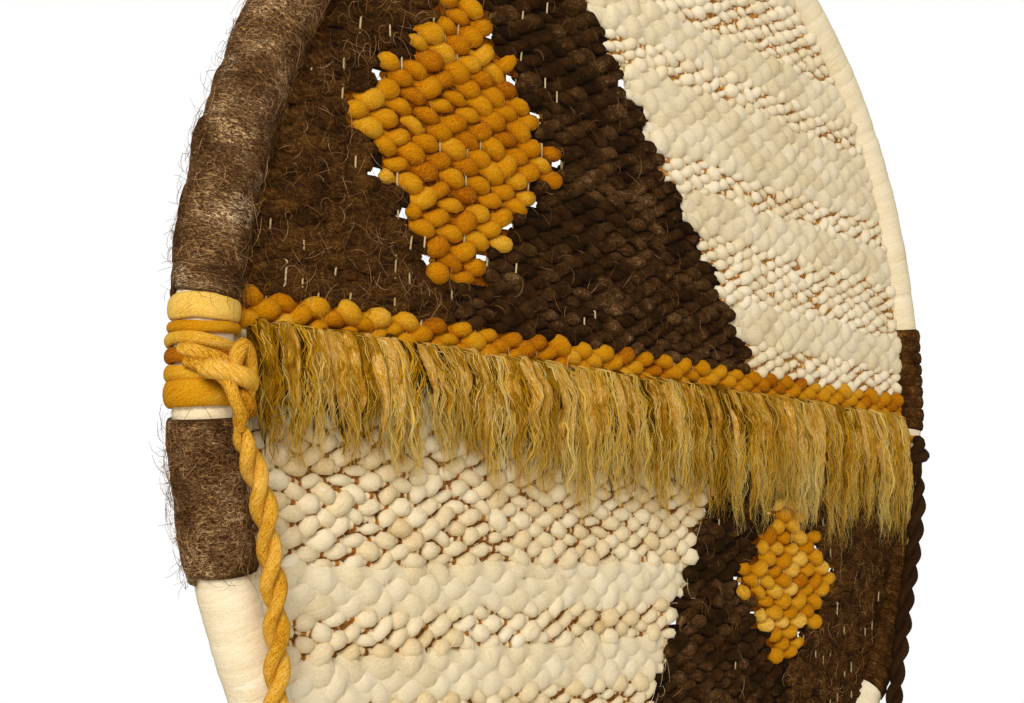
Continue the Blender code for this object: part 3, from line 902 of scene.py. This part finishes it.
def groundMaterial():
    # Packed wool deep between the rows: matt and grainy, its colour darkened with painted shade of the rows
    # over it.
    material, tree, shader, read, solid = newMaterial("packed_wool_ground_painted_shade", "shade")
    grain = addNode(tree, "ShaderNodeTexNoise", {"Scale": 1 / (1.8 * mm), "Detail": 3.0}, {"Vector": solid})
    darker = addNode(tree, "ShaderNodeMapRange", {"From Min": 0.35, "From Max": 0.65, "To Min": 0.35,
                                                  "To Max": 1.25}, {"Value": grain})
    colour = addNode(tree, "ShaderNodeVectorMath", operation="SCALE",
                     links={0: read["shade"]["Color"], "Scale": darker})
    finishMaterial(tree, shader, colour, grain, (0.6, 0.5), roughness=0.95, lustre=0.1)
    return material


ground = {"thickness": 1.2, "reach": 346.0}


def makeGround():
    # The thin sheet of crossed yarns that fills the hoop, under the rows' beads.
    pitch = web["warpPitch"]
    columns = 2 * floor(ground["reach"] / pitch) + 2
    rows = 2 * floor(ground["reach"] / web["cellUp"]) + 2
    bm = bmesh.new()
    bmesh.ops.create_grid(bm, x_segments=columns, y_segments=rows, size=0.5)
    for vert in bm.verts:
        vert.co.x = round(vert.co.x * columns) * pitch
        vert.co.y = round(vert.co.y * rows) * web["cellUp"]
    outside = [vert for vert in bm.verts if hypot(vert.co.x, vert.co.y) > ground["reach"]]
    bmesh.ops.delete(bm, geom=outside, context="VERTS")
    openings = []
    shade = bm.faces.layers.float_color.new("shade")
    for face in bm.faces:
        middle = face.calc_center_median()
        # painted shade: each cell takes the darkened colour of the yarn over it
        face[shade] = linear(groundColoursWithPaintedShade[fieldAt(middle.x, middle.y)])
        if (floor(middle.x / pitch), floor(middle.y / web["cellUp"])) in openSlits:
            openings.append(face)
    bmesh.ops.delete(bm, geom=openings, context="FACES")
    for vert in bm.verts:
        relief = 0.5 * drift(vert.co.x / 14, vert.co.y / 10, 1.0)
        vert.co = settled(vert.co.x, vert.co.y, web["middle"] + relief)
    bmesh.ops.recalc_face_normals(bm, faces=bm.faces)
    bmesh.ops.solidify(bm, geom=list(bm.faces), thickness=ground["thickness"] * mm)
    bmesh.ops.recalc_face_normals(bm, faces=bm.faces)
    mesh = bpy.data.meshes.new("web_ground")
    bm.to_mesh(mesh)
    bm.free()
    mesh.shade_smooth()
    return finishPiece("web_ground", mesh, groundMaterial())


weaveWeb()
webGround = makeGround()
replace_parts(webGround, "web")
webPieces = [
    sweep("gold_weft", strandsOf["gold"], goldWool, sides=10),
    sweep("dark_brown_weft", strandsOf["brown"], brownWool),
    sweep("felted_brown_weft", strandsOf["felt"], feltedRoving, sides=6),
    sweep("cream_slub_weft", strandsOf["slub"] + strandsOf["fineSlub"], slubWool, sides=7),
    sweep("cream_roving_weft", strandsOf["roving"], creamRoving, sides=10, thick=0.66),
    makeWarps(),
]


print("binding and wraps")

# Arcs in degrees from the hoop's right. pitch: between turns; across and thick: half sizes of the
# flattened yarn; middle: of the yarn, out from the tube's middle; uneven: how much turns differ; layer:
# how far turns ride up on one another.
overWrap = {"slot": "felted_brown_wool", "material": feltedSleeveWithPaintedLight}
rightWrap = {**overWrap, "material": feltedRoving, "pitch": 8.8, "across": 5.2, "thick": 2.3, "middle": 14.2,
             "layer": 0.0}
windings = [
    {"name": "binding_yarn", "node": "hoop", "slot": "cream_wool", "material": bindingWool,
     "arcs": [(12.0, 101.0), (176.6, 188.0), (197.4, 325.2), (353.0, 360.6)],
     "pitch": 5.0, "across": 7.4, "thick": 0.9, "middle": 13.1, "uneven": 0.25, "layer": 0.4},
    {**overWrap, "name": "upper_left_roving", "node": "wrap_brown_upper_left", "arcs": [(100.4, 177.2)],
     "pitch": 6.0, "across": 7.6, "thick": 2.1, "middle": 15.4, "uneven": 0.6, "layer": 1.9},
    {**overWrap, "name": "lower_left_roving", "node": "wrap_brown_lower_left", "arcs": [(187.2, 197.8)],
     "pitch": 7.0, "across": 8.6, "thick": 2.0, "middle": 15.6, "uneven": 0.55, "layer": 1.0},
    {**rightWrap, "name": "right_upper_yarn", "node": "wrap_brown_right", "arcs": [(359.3, 372.7)],
     "uneven": 0.30},
    {**rightWrap, "name": "right_lower_yarn", "node": "wrap_brown_lower_right", "arcs": [(324.6, 354.2)],
     "uneven": 0.35},
]
turnPoints = 14  # of a wound yarn, in each turn


def tubePoint(angle, turn, out):
    # A place round the hoop's tube and the way it faces. angle goes round the hoop, turn round the tube.
    reach = hoopRadius + out * cos(turn)
    at = place(reach * cos(angle), reach * sin(angle), out * sin(turn))
    facing = Vector((cos(turn) * cos(angle), -sin(turn), cos(turn) * sin(angle)))
    return at, facing


def makeWinding(winding):
    # Yarn wound on in flat turns side by side, with shallow layers, its ends tucked in thin.
    strands = []
    uneven = winding["uneven"]
    for start, end in winding["arcs"]:
        length = radians(end - start) * hoopRadius
        turns = length / winding["pitch"]
        count = round(turns * turnPoints)
        strand = []
        for index in range(count + 1):
            run = length * index / count
            turn = 2 * pi * turns * index / count - pi / 2
            number = floor(turns * index / count)
            slip = winding["pitch"] * 0.45 * uneven * drift(number * 0.83, turn / 9, 31.0)
            angle = radians(start) + (run + slip) / hoopRadius
            swell = 1 + uneven * 0.5 * drift(number * 0.91, turn / 5, start)
            ramp = 1 - (run / 33 + 0.3 * drift(run / 60, 1.0, 1.0)) % 1.0
            layer = 0.5 * drift(run / 46, 2.0, 8.0) + 0.5 * drift(run / 14, 5.0, 1.0) + 0.6 * ramp - 0.3
            ends = ease(0, 5, run) * ease(0, 5, length - run)
            out = winding["middle"] + winding["layer"] * layer + 0.25 * drift(run / 6, turn / 3, 4.0)
            at, facing = tubePoint(angle, turn, out)
            tone = 0.5 + 0.2 * drift(number * 0.7, turn / 6, 6.0)
            streak = ease(0.62, 0.85, drift(number * 3.7, turn / 1.5, 71.0)) * 0.9
            strand.append(Spot(at, blend(0.6, 1.0, ends) * swell, tone, streak, facing))
        strands.append(strand)
    piece = sweep(winding["name"], strands, winding["material"], thick=winding["thick"],
                  across=winding["across"])
    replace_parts(piece, winding["node"])


for winding in windings:
    makeWinding(winding)

# Single gold turns: angle and slant in degrees, half width, half thickness, how far out, shade.
# Their ends overlap at the back, by this part of a turn in radians.
loopPoints = 32
loopOverlap = 0.3
leftTurns = [
    (178.45, 0.0, 5.8, 2.0, 14.8, 1.18),
    (179.9, -0.1, 2.7, 2.2, 15.0, 0.60),
    (181.25, 0.5, 3.1, 2.2, 15.2, 0.86),
    (182.10, 0.15, 3.5, 2.5, 15.1, 0.05),
    (183.35, 0.1, 3.6, 2.3, 15.1, 0.68),
    (184.75, 0.0, 6.2, 3.0, 15.0, 0.60),
]
rightTurns = [
    (358.0, 0.1, 3.0, 2.2, 14.4, 0.55),
    (356.7, -0.3, 2.6, 2.2, 14.4, 0.35),
    (355.6, 0.0, 3.2, 2.2, 14.4, 0.60),
]


def makeTurns(name, node, turns):
    # Each turn goes once round the tube and meets itself at the back.
    pieces = []
    for start, slant, across, thick, middle, tone in turns:
        strand = []
        for index in range(loopPoints + 1):
            turn = -pi / 2 - loopOverlap / 2 + (2 * pi + loopOverlap) * index / loopPoints
            wave = 0.10 * drift(start * 3, turn * 0.8, 2.0)
            angle = radians(start + wave - slant * cos(turn))
            out = middle + 0.4 * drift(turn * 0.9, start, 7.0)
            at, facing = tubePoint(angle, turn, out)
            wide = across * (1 + 0.10 * drift(turn * 1.1, start, 3.0))
            strand.append(Spot(at, wide, tone, 0.0, facing))
        pieces.append(sweep(f"{name}_{len(pieces) + 1}", [strand], goldWool, sides=14,
                            thick=round(thick / across, 3)))
    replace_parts(pieces[0], node)


makeTurns("left_gold_turn", "wrap_gold_left", leftTurns)
makeTurns("right_gold_turn", "wrap_gold_right", rightTurns)


print("knots")

# Each strand: its shade, its half thickness and its points. In the gold knot the shade is partly painted:
# the darkest strands, at 0.0 and 0.05, are painted shade for the parts of the knot in shadow.
goldKnot = [
    (0.50, 3.6, [(-366, -10, 4), (-362, -12, 13), (-356, -14.5, 19), (-350, -18, 22), (-344, -21, 23),
                 (-340, -26, 20)]),
    (0.36, 3.6, [(-352, -21, 26), (-354, -14, 29), (-349.5, -8, 27.5), (-345, -12.5, 26.5), (-343, -22, 25.5),
                 (-344.5, -32, 25.5), (-347.5, -41, 25.5), (-346.5, -47, 25.0)]),
    (0.48, 4.7, [(-364, -19, 17), (-360, -20, 25), (-353, -22, 30), (-346, -23.5, 28.5), (-341, -27, 22)]),
    (0.32, 3.0, [(-366, -16, 8), (-361, -19, 18), (-357, -25, 27), (-354.0, -33, 29.5), (-350.5, -39, 29.5),
                 (-348, -46, 27)]),
    (0.0, 4.0, [(-352, -25, 20), (-348.5, -30, 25), (-344.5, -34, 27), (-343, -39, 25)]),
    (0.05, 3.2, [(-345, -13, 18), (-341.5, -17, 22), (-340, -23, 23), (-340.5, -30, 20)]),
]
brownKnot = [
    (0.5, 4.2, [(345, -12, 14), (338, -14, 20), (330, -18, 24), (326, -24, 20)]),
    (0.6, 4.4, [(326, -27, 16), (330, -27, 23), (337, -25, 24.5), (342, -21, 18)]),
    (0.4, 4.2, [(336, -17, 21), (333, -25, 21), (332, -33, 20.5), (333.5, -42, 20.5)]),
]


def makeKnot(name, node, strands, material):
    # Each strand follows its points and thins a little at its ends.
    swept = []
    for tone, radius, fixed in strands:
        points, length = smoothRoute([place(*point) for point in fixed], 2.2 * mm)
        spots = []
        for index, at in enumerate(points):
            share = index / (len(points) - 1)
            ends = 0.75 + 0.25 * ease(0, 0.15, share) * ease(0, 0.15, 1 - share)
            spots.append(Spot(at, radius * ends, tone + 0.1 * drift(share * 4, 1.0, length * 99)))
        swept.append(spots)
    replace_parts(sweep(name, swept, material, sides=10), node)


makeKnot("gold_knot", "knot_gold", goldKnot, goldCordWool)
makeKnot("dark_brown_knot", "knot_brown", brownKnot, darkCordWool)


print("fringe")

fringe = {
    "left": -326.0, "right": 318.0, "locks": 50,
    "leftLength": 66.0, "rightLength": 96.0, "lengthSpread": 0.09,
    "headUp": 6.5, "headForward": 5.0, "lean": 15.0, "rightPull": 6.0, "pullReach": 60.0,
    "clumps": 7, "clumpWidth": 8.5, "clumpDepth": 4.0, "crimpLength": 16.0, "wander": 3.0,
}
# The mass of each lock: flat tapering layers, the bottom one wide and dark. Painted shade of the lock's
# depth:
# the bottom layer, furthest back, is darkest, and each layer in front of it is paler by a step.
layers = {"count": 4, "points": 17, "width": 5.6, "bottomWide": 1.7, "upperWide": 0.92, "bottomPaintedShade": -0.42,
          "upperPaintedShade": -0.14, "paintedShadeStep": 0.11, "shadeSpread": 0.12, "flat": 0.34}
# What is drawn over them. number: in each clump or, for wisps, in each lock; pale: how much paler the
# hairs are, most of them and, as often as paleChance says, the others.
ropes = {"points": 14, "radius": 0.55, "crimp": 0.2}
hairs = {"number": 6, "points": 14, "radius": 0.17, "crimp": 1.25, "pale": (0.06, 0.54), "paleChance": 0.30}
wisps = {"number": 30, "points": 8, "radius": 0.13, "crimp": 1.2, "pale": 0.25}


def lockLine(lock, share):
    # The middle of a lock at a share of its length: (across, up, forward).
    swing = sin(lock["phase"] + share * lock["length"] * 2 * pi / lock["waveLength"]) - sin(lock["phase"])
    across = lock["across"] + lock["lean"] * share ** 0.85 + lock["wave"] * swing * ease(0, 0.3, share)
    up = fringe["headUp"] - lock["length"] * share + 3.0 * ease(0, 0.05, share)
    forward = fringe["headForward"] + 7.0 * ease(0, 0.06, share) + 4.0 * ease(0.06, 0.3, share)
    forward -= 1.5 * ease(0.3, 1, share)
    return across, up, forward + lock["bulge"] * sin(pi * share)


def makeLock(number, pitch, chance):
    # Where a lock hangs, how long it is, how it leans and waves.
    across = fringe["left"] + pitch * (number + 0.5)
    share = (across - fringe["left"]) / (fringe["right"] - fringe["left"])
    length = blend(fringe["leftLength"], fringe["rightLength"], share)
    middle = across + chance.gauss(0, 2.0)
    length *= 1 + fringe["lengthSpread"] * chance.gauss(0, 1)
    lean = fringe["lean"] * chance.uniform(0.6, 1.2) * blend(1.0, 0.55, number / fringe["locks"])
    lean *= blend(0.25, 1.0, ease(0, 4, number))
    lean += fringe["rightPull"] * ease(fringe["right"] - fringe["pullReach"], fringe["right"], across)
    return {
        "across": middle, "length": length, "lean": lean,
        "wave": chance.uniform(0.6, 1.8), "waveLength": chance.uniform(28, 46),
        "phase": chance.uniform(0, 2 * pi), "bulge": chance.uniform(-0.5, 2.0),
        "tone": 0.5 + 0.12 * chance.gauss(0, 1),
        "twist": chance.uniform(-2.0, 2.0), "taper": chance.uniform(0.5, 0.95),
    }


def layerStrand(lock, layer, pitch, chance):
    # One flat layer of a lock, turned a little, tapering to its tip.
    share = layer / layers["count"]
    aside = chance.uniform(-0.5, 0.5) * pitch * (0.6 + share)
    back = 5.0 * (1 - layer / (layers["count"] - 1)) - 1.5
    reach = chance.uniform(0.72, 0.95) if layer else 0.88
    turned = chance.gauss(0, 0.35)
    seed = chance.uniform(0, 900)
    # painted shade: the further back the layer lies, the darker it is
    shade = lock["tone"] + layers["upperPaintedShade" if layer else "bottomPaintedShade"]
    shade += layers["paintedShadeStep"] * layer + layers["shadeSpread"] * chance.gauss(0, 1)
    width = layers["width"] * layers["upperWide" if layer else "bottomWide"]
    strand = []
    for part in range(layers["points"]):
        run = part / (layers["points"] - 1)
        across, up, forward = lockLine(lock, run * reach)
        wide = blend(0.4, 1, ease(0, 0.16, run)) * blend(1, 0.04, ease(0.35, 1.0, run) ** 0.8)
        wide *= 1 + 0.25 * drift(run * 5, seed, 3.0)
        sway = 2.0 * drift(run * 4, seed, 7.0) * ease(0, 0.2, run)
        tone = min(1.0, max(0.0, shade + 0.15 * run))
        strand.append(Spot(place(across + aside + sway, up, forward - back), width * wide, tone, 0.0,
                           (sin(turned), -cos(turned), 0)))
    return strand


def clumpStrand(lock, clump, points, reach, radius, aside, crimp, phase, shade, start=0.0):
    # One strand of a clump: it wanders with the clump, crimps by itself, and thins to its tip.
    strand = []
    for part in range(points):
        run = blend(start, 1.0, part / (points - 1))
        share = run * reach
        centre = lockLine(lock, share)
        spread = ease(0, 0.2, share)
        gather = blend(1, lock["taper"], ease(0.55, 1, share)) * blend(0.9, 1, spread)
        heading = clump["turn"] + lock["twist"] * share
        down = share * lock["length"]
        wander = fringe["wander"] * spread
        wave = phase + 2 * pi * down / fringe["crimpLength"]
        loose = blend(1.0, 0.5, ease(0.5, 1, run))
        seed = clump["seed"]
        across = centre[0] + fringe["clumpWidth"] * clump["out"] * cos(heading) * gather
        across += wander * drift(down / 14, seed, 1.0) + 0.7 * spread * drift(down / 5, seed, 4.0)
        across += aside[0] * loose + crimp * spread * sin(wave)
        forward = centre[2] + fringe["clumpDepth"] * clump["out"] * sin(heading) * gather
        forward += wander * drift(down / 13, seed, 9.0)
        forward += aside[1] * loose + 0.7 * crimp * spread * cos(wave)
        up = centre[1] + clump["rise"] * (1 - share)
        tone = min(1, max(0, shade + 0.10 * ease(0.4, 1, run)))
        strand.append(Spot(place(across, up, forward), radius * (1 - 0.7 * ease(0.5, 1, run)), tone))
    return strand


def makeClump(chance):  # where strands gather round a lock's middle
    return {"turn": chance.uniform(0, 2 * pi), "out": sqrt(chance.random()), "seed": chance.uniform(0, 900)}


def makeFringe():
    chance = random.Random(11)
    pitch = (fringe["right"] - fringe["left"]) / fringe["locks"]
    layerStrands = []
    ropeStrands = []
    hairStrands = []
    wispStrands = []
    for number in range(fringe["locks"]):
        lock = makeLock(number, pitch, chance)
        layerStrands += [layerStrand(lock, layer, pitch, chance) for layer in range(layers["count"])]
        for _ in range(fringe["clumps"]):
            clump = makeClump(chance) | {"rise": chance.uniform(-2.5, 2.0)}
            shade = lock["tone"] + 0.09 * chance.gauss(0, 1)
            reach = chance.uniform(0.80, 1.06)
            radius = ropes["radius"] * chance.uniform(0.6, 1.4)
            ropeStrands.append(clumpStrand(lock, clump, ropes["points"], reach * 0.97, radius, (0, 0),
                                           ropes["crimp"], chance.uniform(0, 6), shade))
            for _ in range(hairs["number"]):
                aside = (chance.gauss(0, 1.5), chance.gauss(0.6, 0.9))
                pale = hairs["pale"][chance.random() < hairs["paleChance"]]
                hairReach = reach * chance.uniform(0.9, 1.06)
                radius = hairs["radius"] * chance.uniform(0.7, 1.3)
                crimp = hairs["crimp"] * chance.uniform(0.3, 1.8)
                phase = chance.uniform(0, 2 * pi)
                tone = shade + pale + 0.08 * chance.gauss(0, 1)
                hairStrands.append(clumpStrand(lock, clump, hairs["points"], hairReach, radius, aside, crimp,
                                               phase, tone))
        for _ in range(wisps["number"]):
            clump = makeClump(chance) | {"rise": 0.0}
            reach = chance.uniform(0.75, 1.12)
            radius = wisps["radius"] * chance.uniform(0.7, 1.3)
            aside = (chance.gauss(0, 3.0), chance.gauss(1.5, 1.2))
            crimp = wisps["crimp"] * chance.uniform(0.3, 1.5)
            phase = chance.uniform(0, 2 * pi)
            tone = lock["tone"] + wisps["pale"] + 0.12 * chance.gauss(0, 1)
            wispStrands.append(clumpStrand(lock, clump, wisps["points"], reach, radius, aside, crimp, phase,
                                           tone, start=chance.uniform(0.35, 0.6)))
    locks = sweep("fringe_locks", layerStrands, mohairDepthWithPaintedShade, thick=layers["flat"])
    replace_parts(locks, "fringe")
    return [locks, sweep("fringe_ropes", ropeStrands, mohair, sides=5),
            sweep("fringe_hairs", hairStrands, mohair, sides=3),
            sweep("fringe_wisps", wispStrands, mohair, sides=3)]


webPieces += makeFringe()


print("hairs")


def looseHairs(name, count, surface, hair, material, slot, seed):
    # Each hair leaves the wool, bends over it and goes back in.
    chance = random.Random(seed)
    strands = []
    for _ in range(count):
        at, side, along, out = surface(chance)
        heading = chance.gauss(hair["heading"], hair["spread"]) + pi * chance.randint(0, 1)
        length = chance.uniform(*hair["length"])
        bend = chance.gauss(0, hair["bend"])
        lift = chance.uniform(*hair["lift"])
        shade = chance.uniform(0.1, 1.0)
        radius = chance.uniform(*hair["radius"])
        strand = []
        point = Vector(at)
        for part in range(hair["points"]):
            share = part / (hair["points"] - 1)
            up = lift * sin(pi * share) - 0.3
            strand.append(Spot(point + out * up * mm, radius * (1 - 0.5 * abs(2 * share - 1)), shade))
            heading += bend / hair["points"]
            point = point + (side * cos(heading) + along * sin(heading)) * (length / hair["points"]) * mm
        strands.append(strand)
    return sweep(name, strands, material, sides=3)


def webSurface(fields, forward):
    # Gives places on the front of the fields of these yarns.
    def spotOn(chance):
        while True:
            across = chance.uniform(-web["hairSquare"], web["hairSquare"])
            up = chance.uniform(-web["hairSquare"], web["hairSquare"])
            if hypot(across, up) < web["hairReach"] and fieldAt(across, up) in fields:
                at = settled(across, up, web["middle"] + forward)
                return at, Vector((1, 0, 0)), Vector((0, 0, 1)), Vector((0, -1, 0))
    return spotOn


# Where hairs stand on the felted sleeves at the hoop's left: arcs in degrees, the share of the hairs
# on the upper one, and how far out from the tube's middle they start.
sleeves = {"upper": (100.4, 177.2), "lower": (187.2, 198.1), "upperShare": 0.80, "out": 17.6}


def wrapSurface(chance):
    # Gives places on the felted sleeves.
    start, end = sleeves["upper" if chance.random() < sleeves["upperShare"] else "lower"]
    angle = radians(chance.uniform(start, end))
    turn = chance.uniform(0, 2 * pi)
    at, facing = tubePoint(angle, turn, sleeves["out"])
    along = Vector((-sin(angle), 0, cos(angle)))
    return at, facing.cross(along), along, facing


# Headings in radians from straight across; the other sizes in mm.
feltHairs = {"length": (7, 22), "bend": 2.2, "lift": (0.2, 0.9), "radius": (0.08, 0.15), "points": 5,
             "heading": 0.0, "spread": 0.9}
wrapHairs = {**feltHairs, "length": (9, 26), "bend": 3.0, "lift": (0.3, 2.0), "spread": 0.8}
goldHairs = {**feltHairs, "length": (4, 11), "bend": 2.5, "radius": (0.06, 0.11), "heading": 0.1,
             "spread": 0.8}
rovingHairs = {**feltHairs, "length": (6, 18), "bend": 2.5, "lift": (0.2, 1.2), "radius": (0.08, 0.16),
               "heading": 0.1, "spread": 0.8}
webHairs = [
    ("felt_hairs", 2200, webSurface(("felt",), 4.6), feltHairs, looseHair, "felted_brown_wool", 41),
    ("dark_brown_hairs", 500, webSurface(("brown",), 5.6), feltHairs, looseHair, "dark_brown_wool", 44),
    ("cream_fibres", 1000, webSurface(("roving", "slub"), 7.0), rovingHairs, creamHair, "cream_wool", 43),
    ("gold_fibres", 450, webSurface(("gold",), 6.6), goldHairs, goldHair, "gold_wool", 45),
]
webPieces += [looseHairs(*row) for row in webHairs]
looseHairs("wrap_hairs", 2700, wrapSurface, wrapHairs, looseHair, "felted_brown_wool", 42)
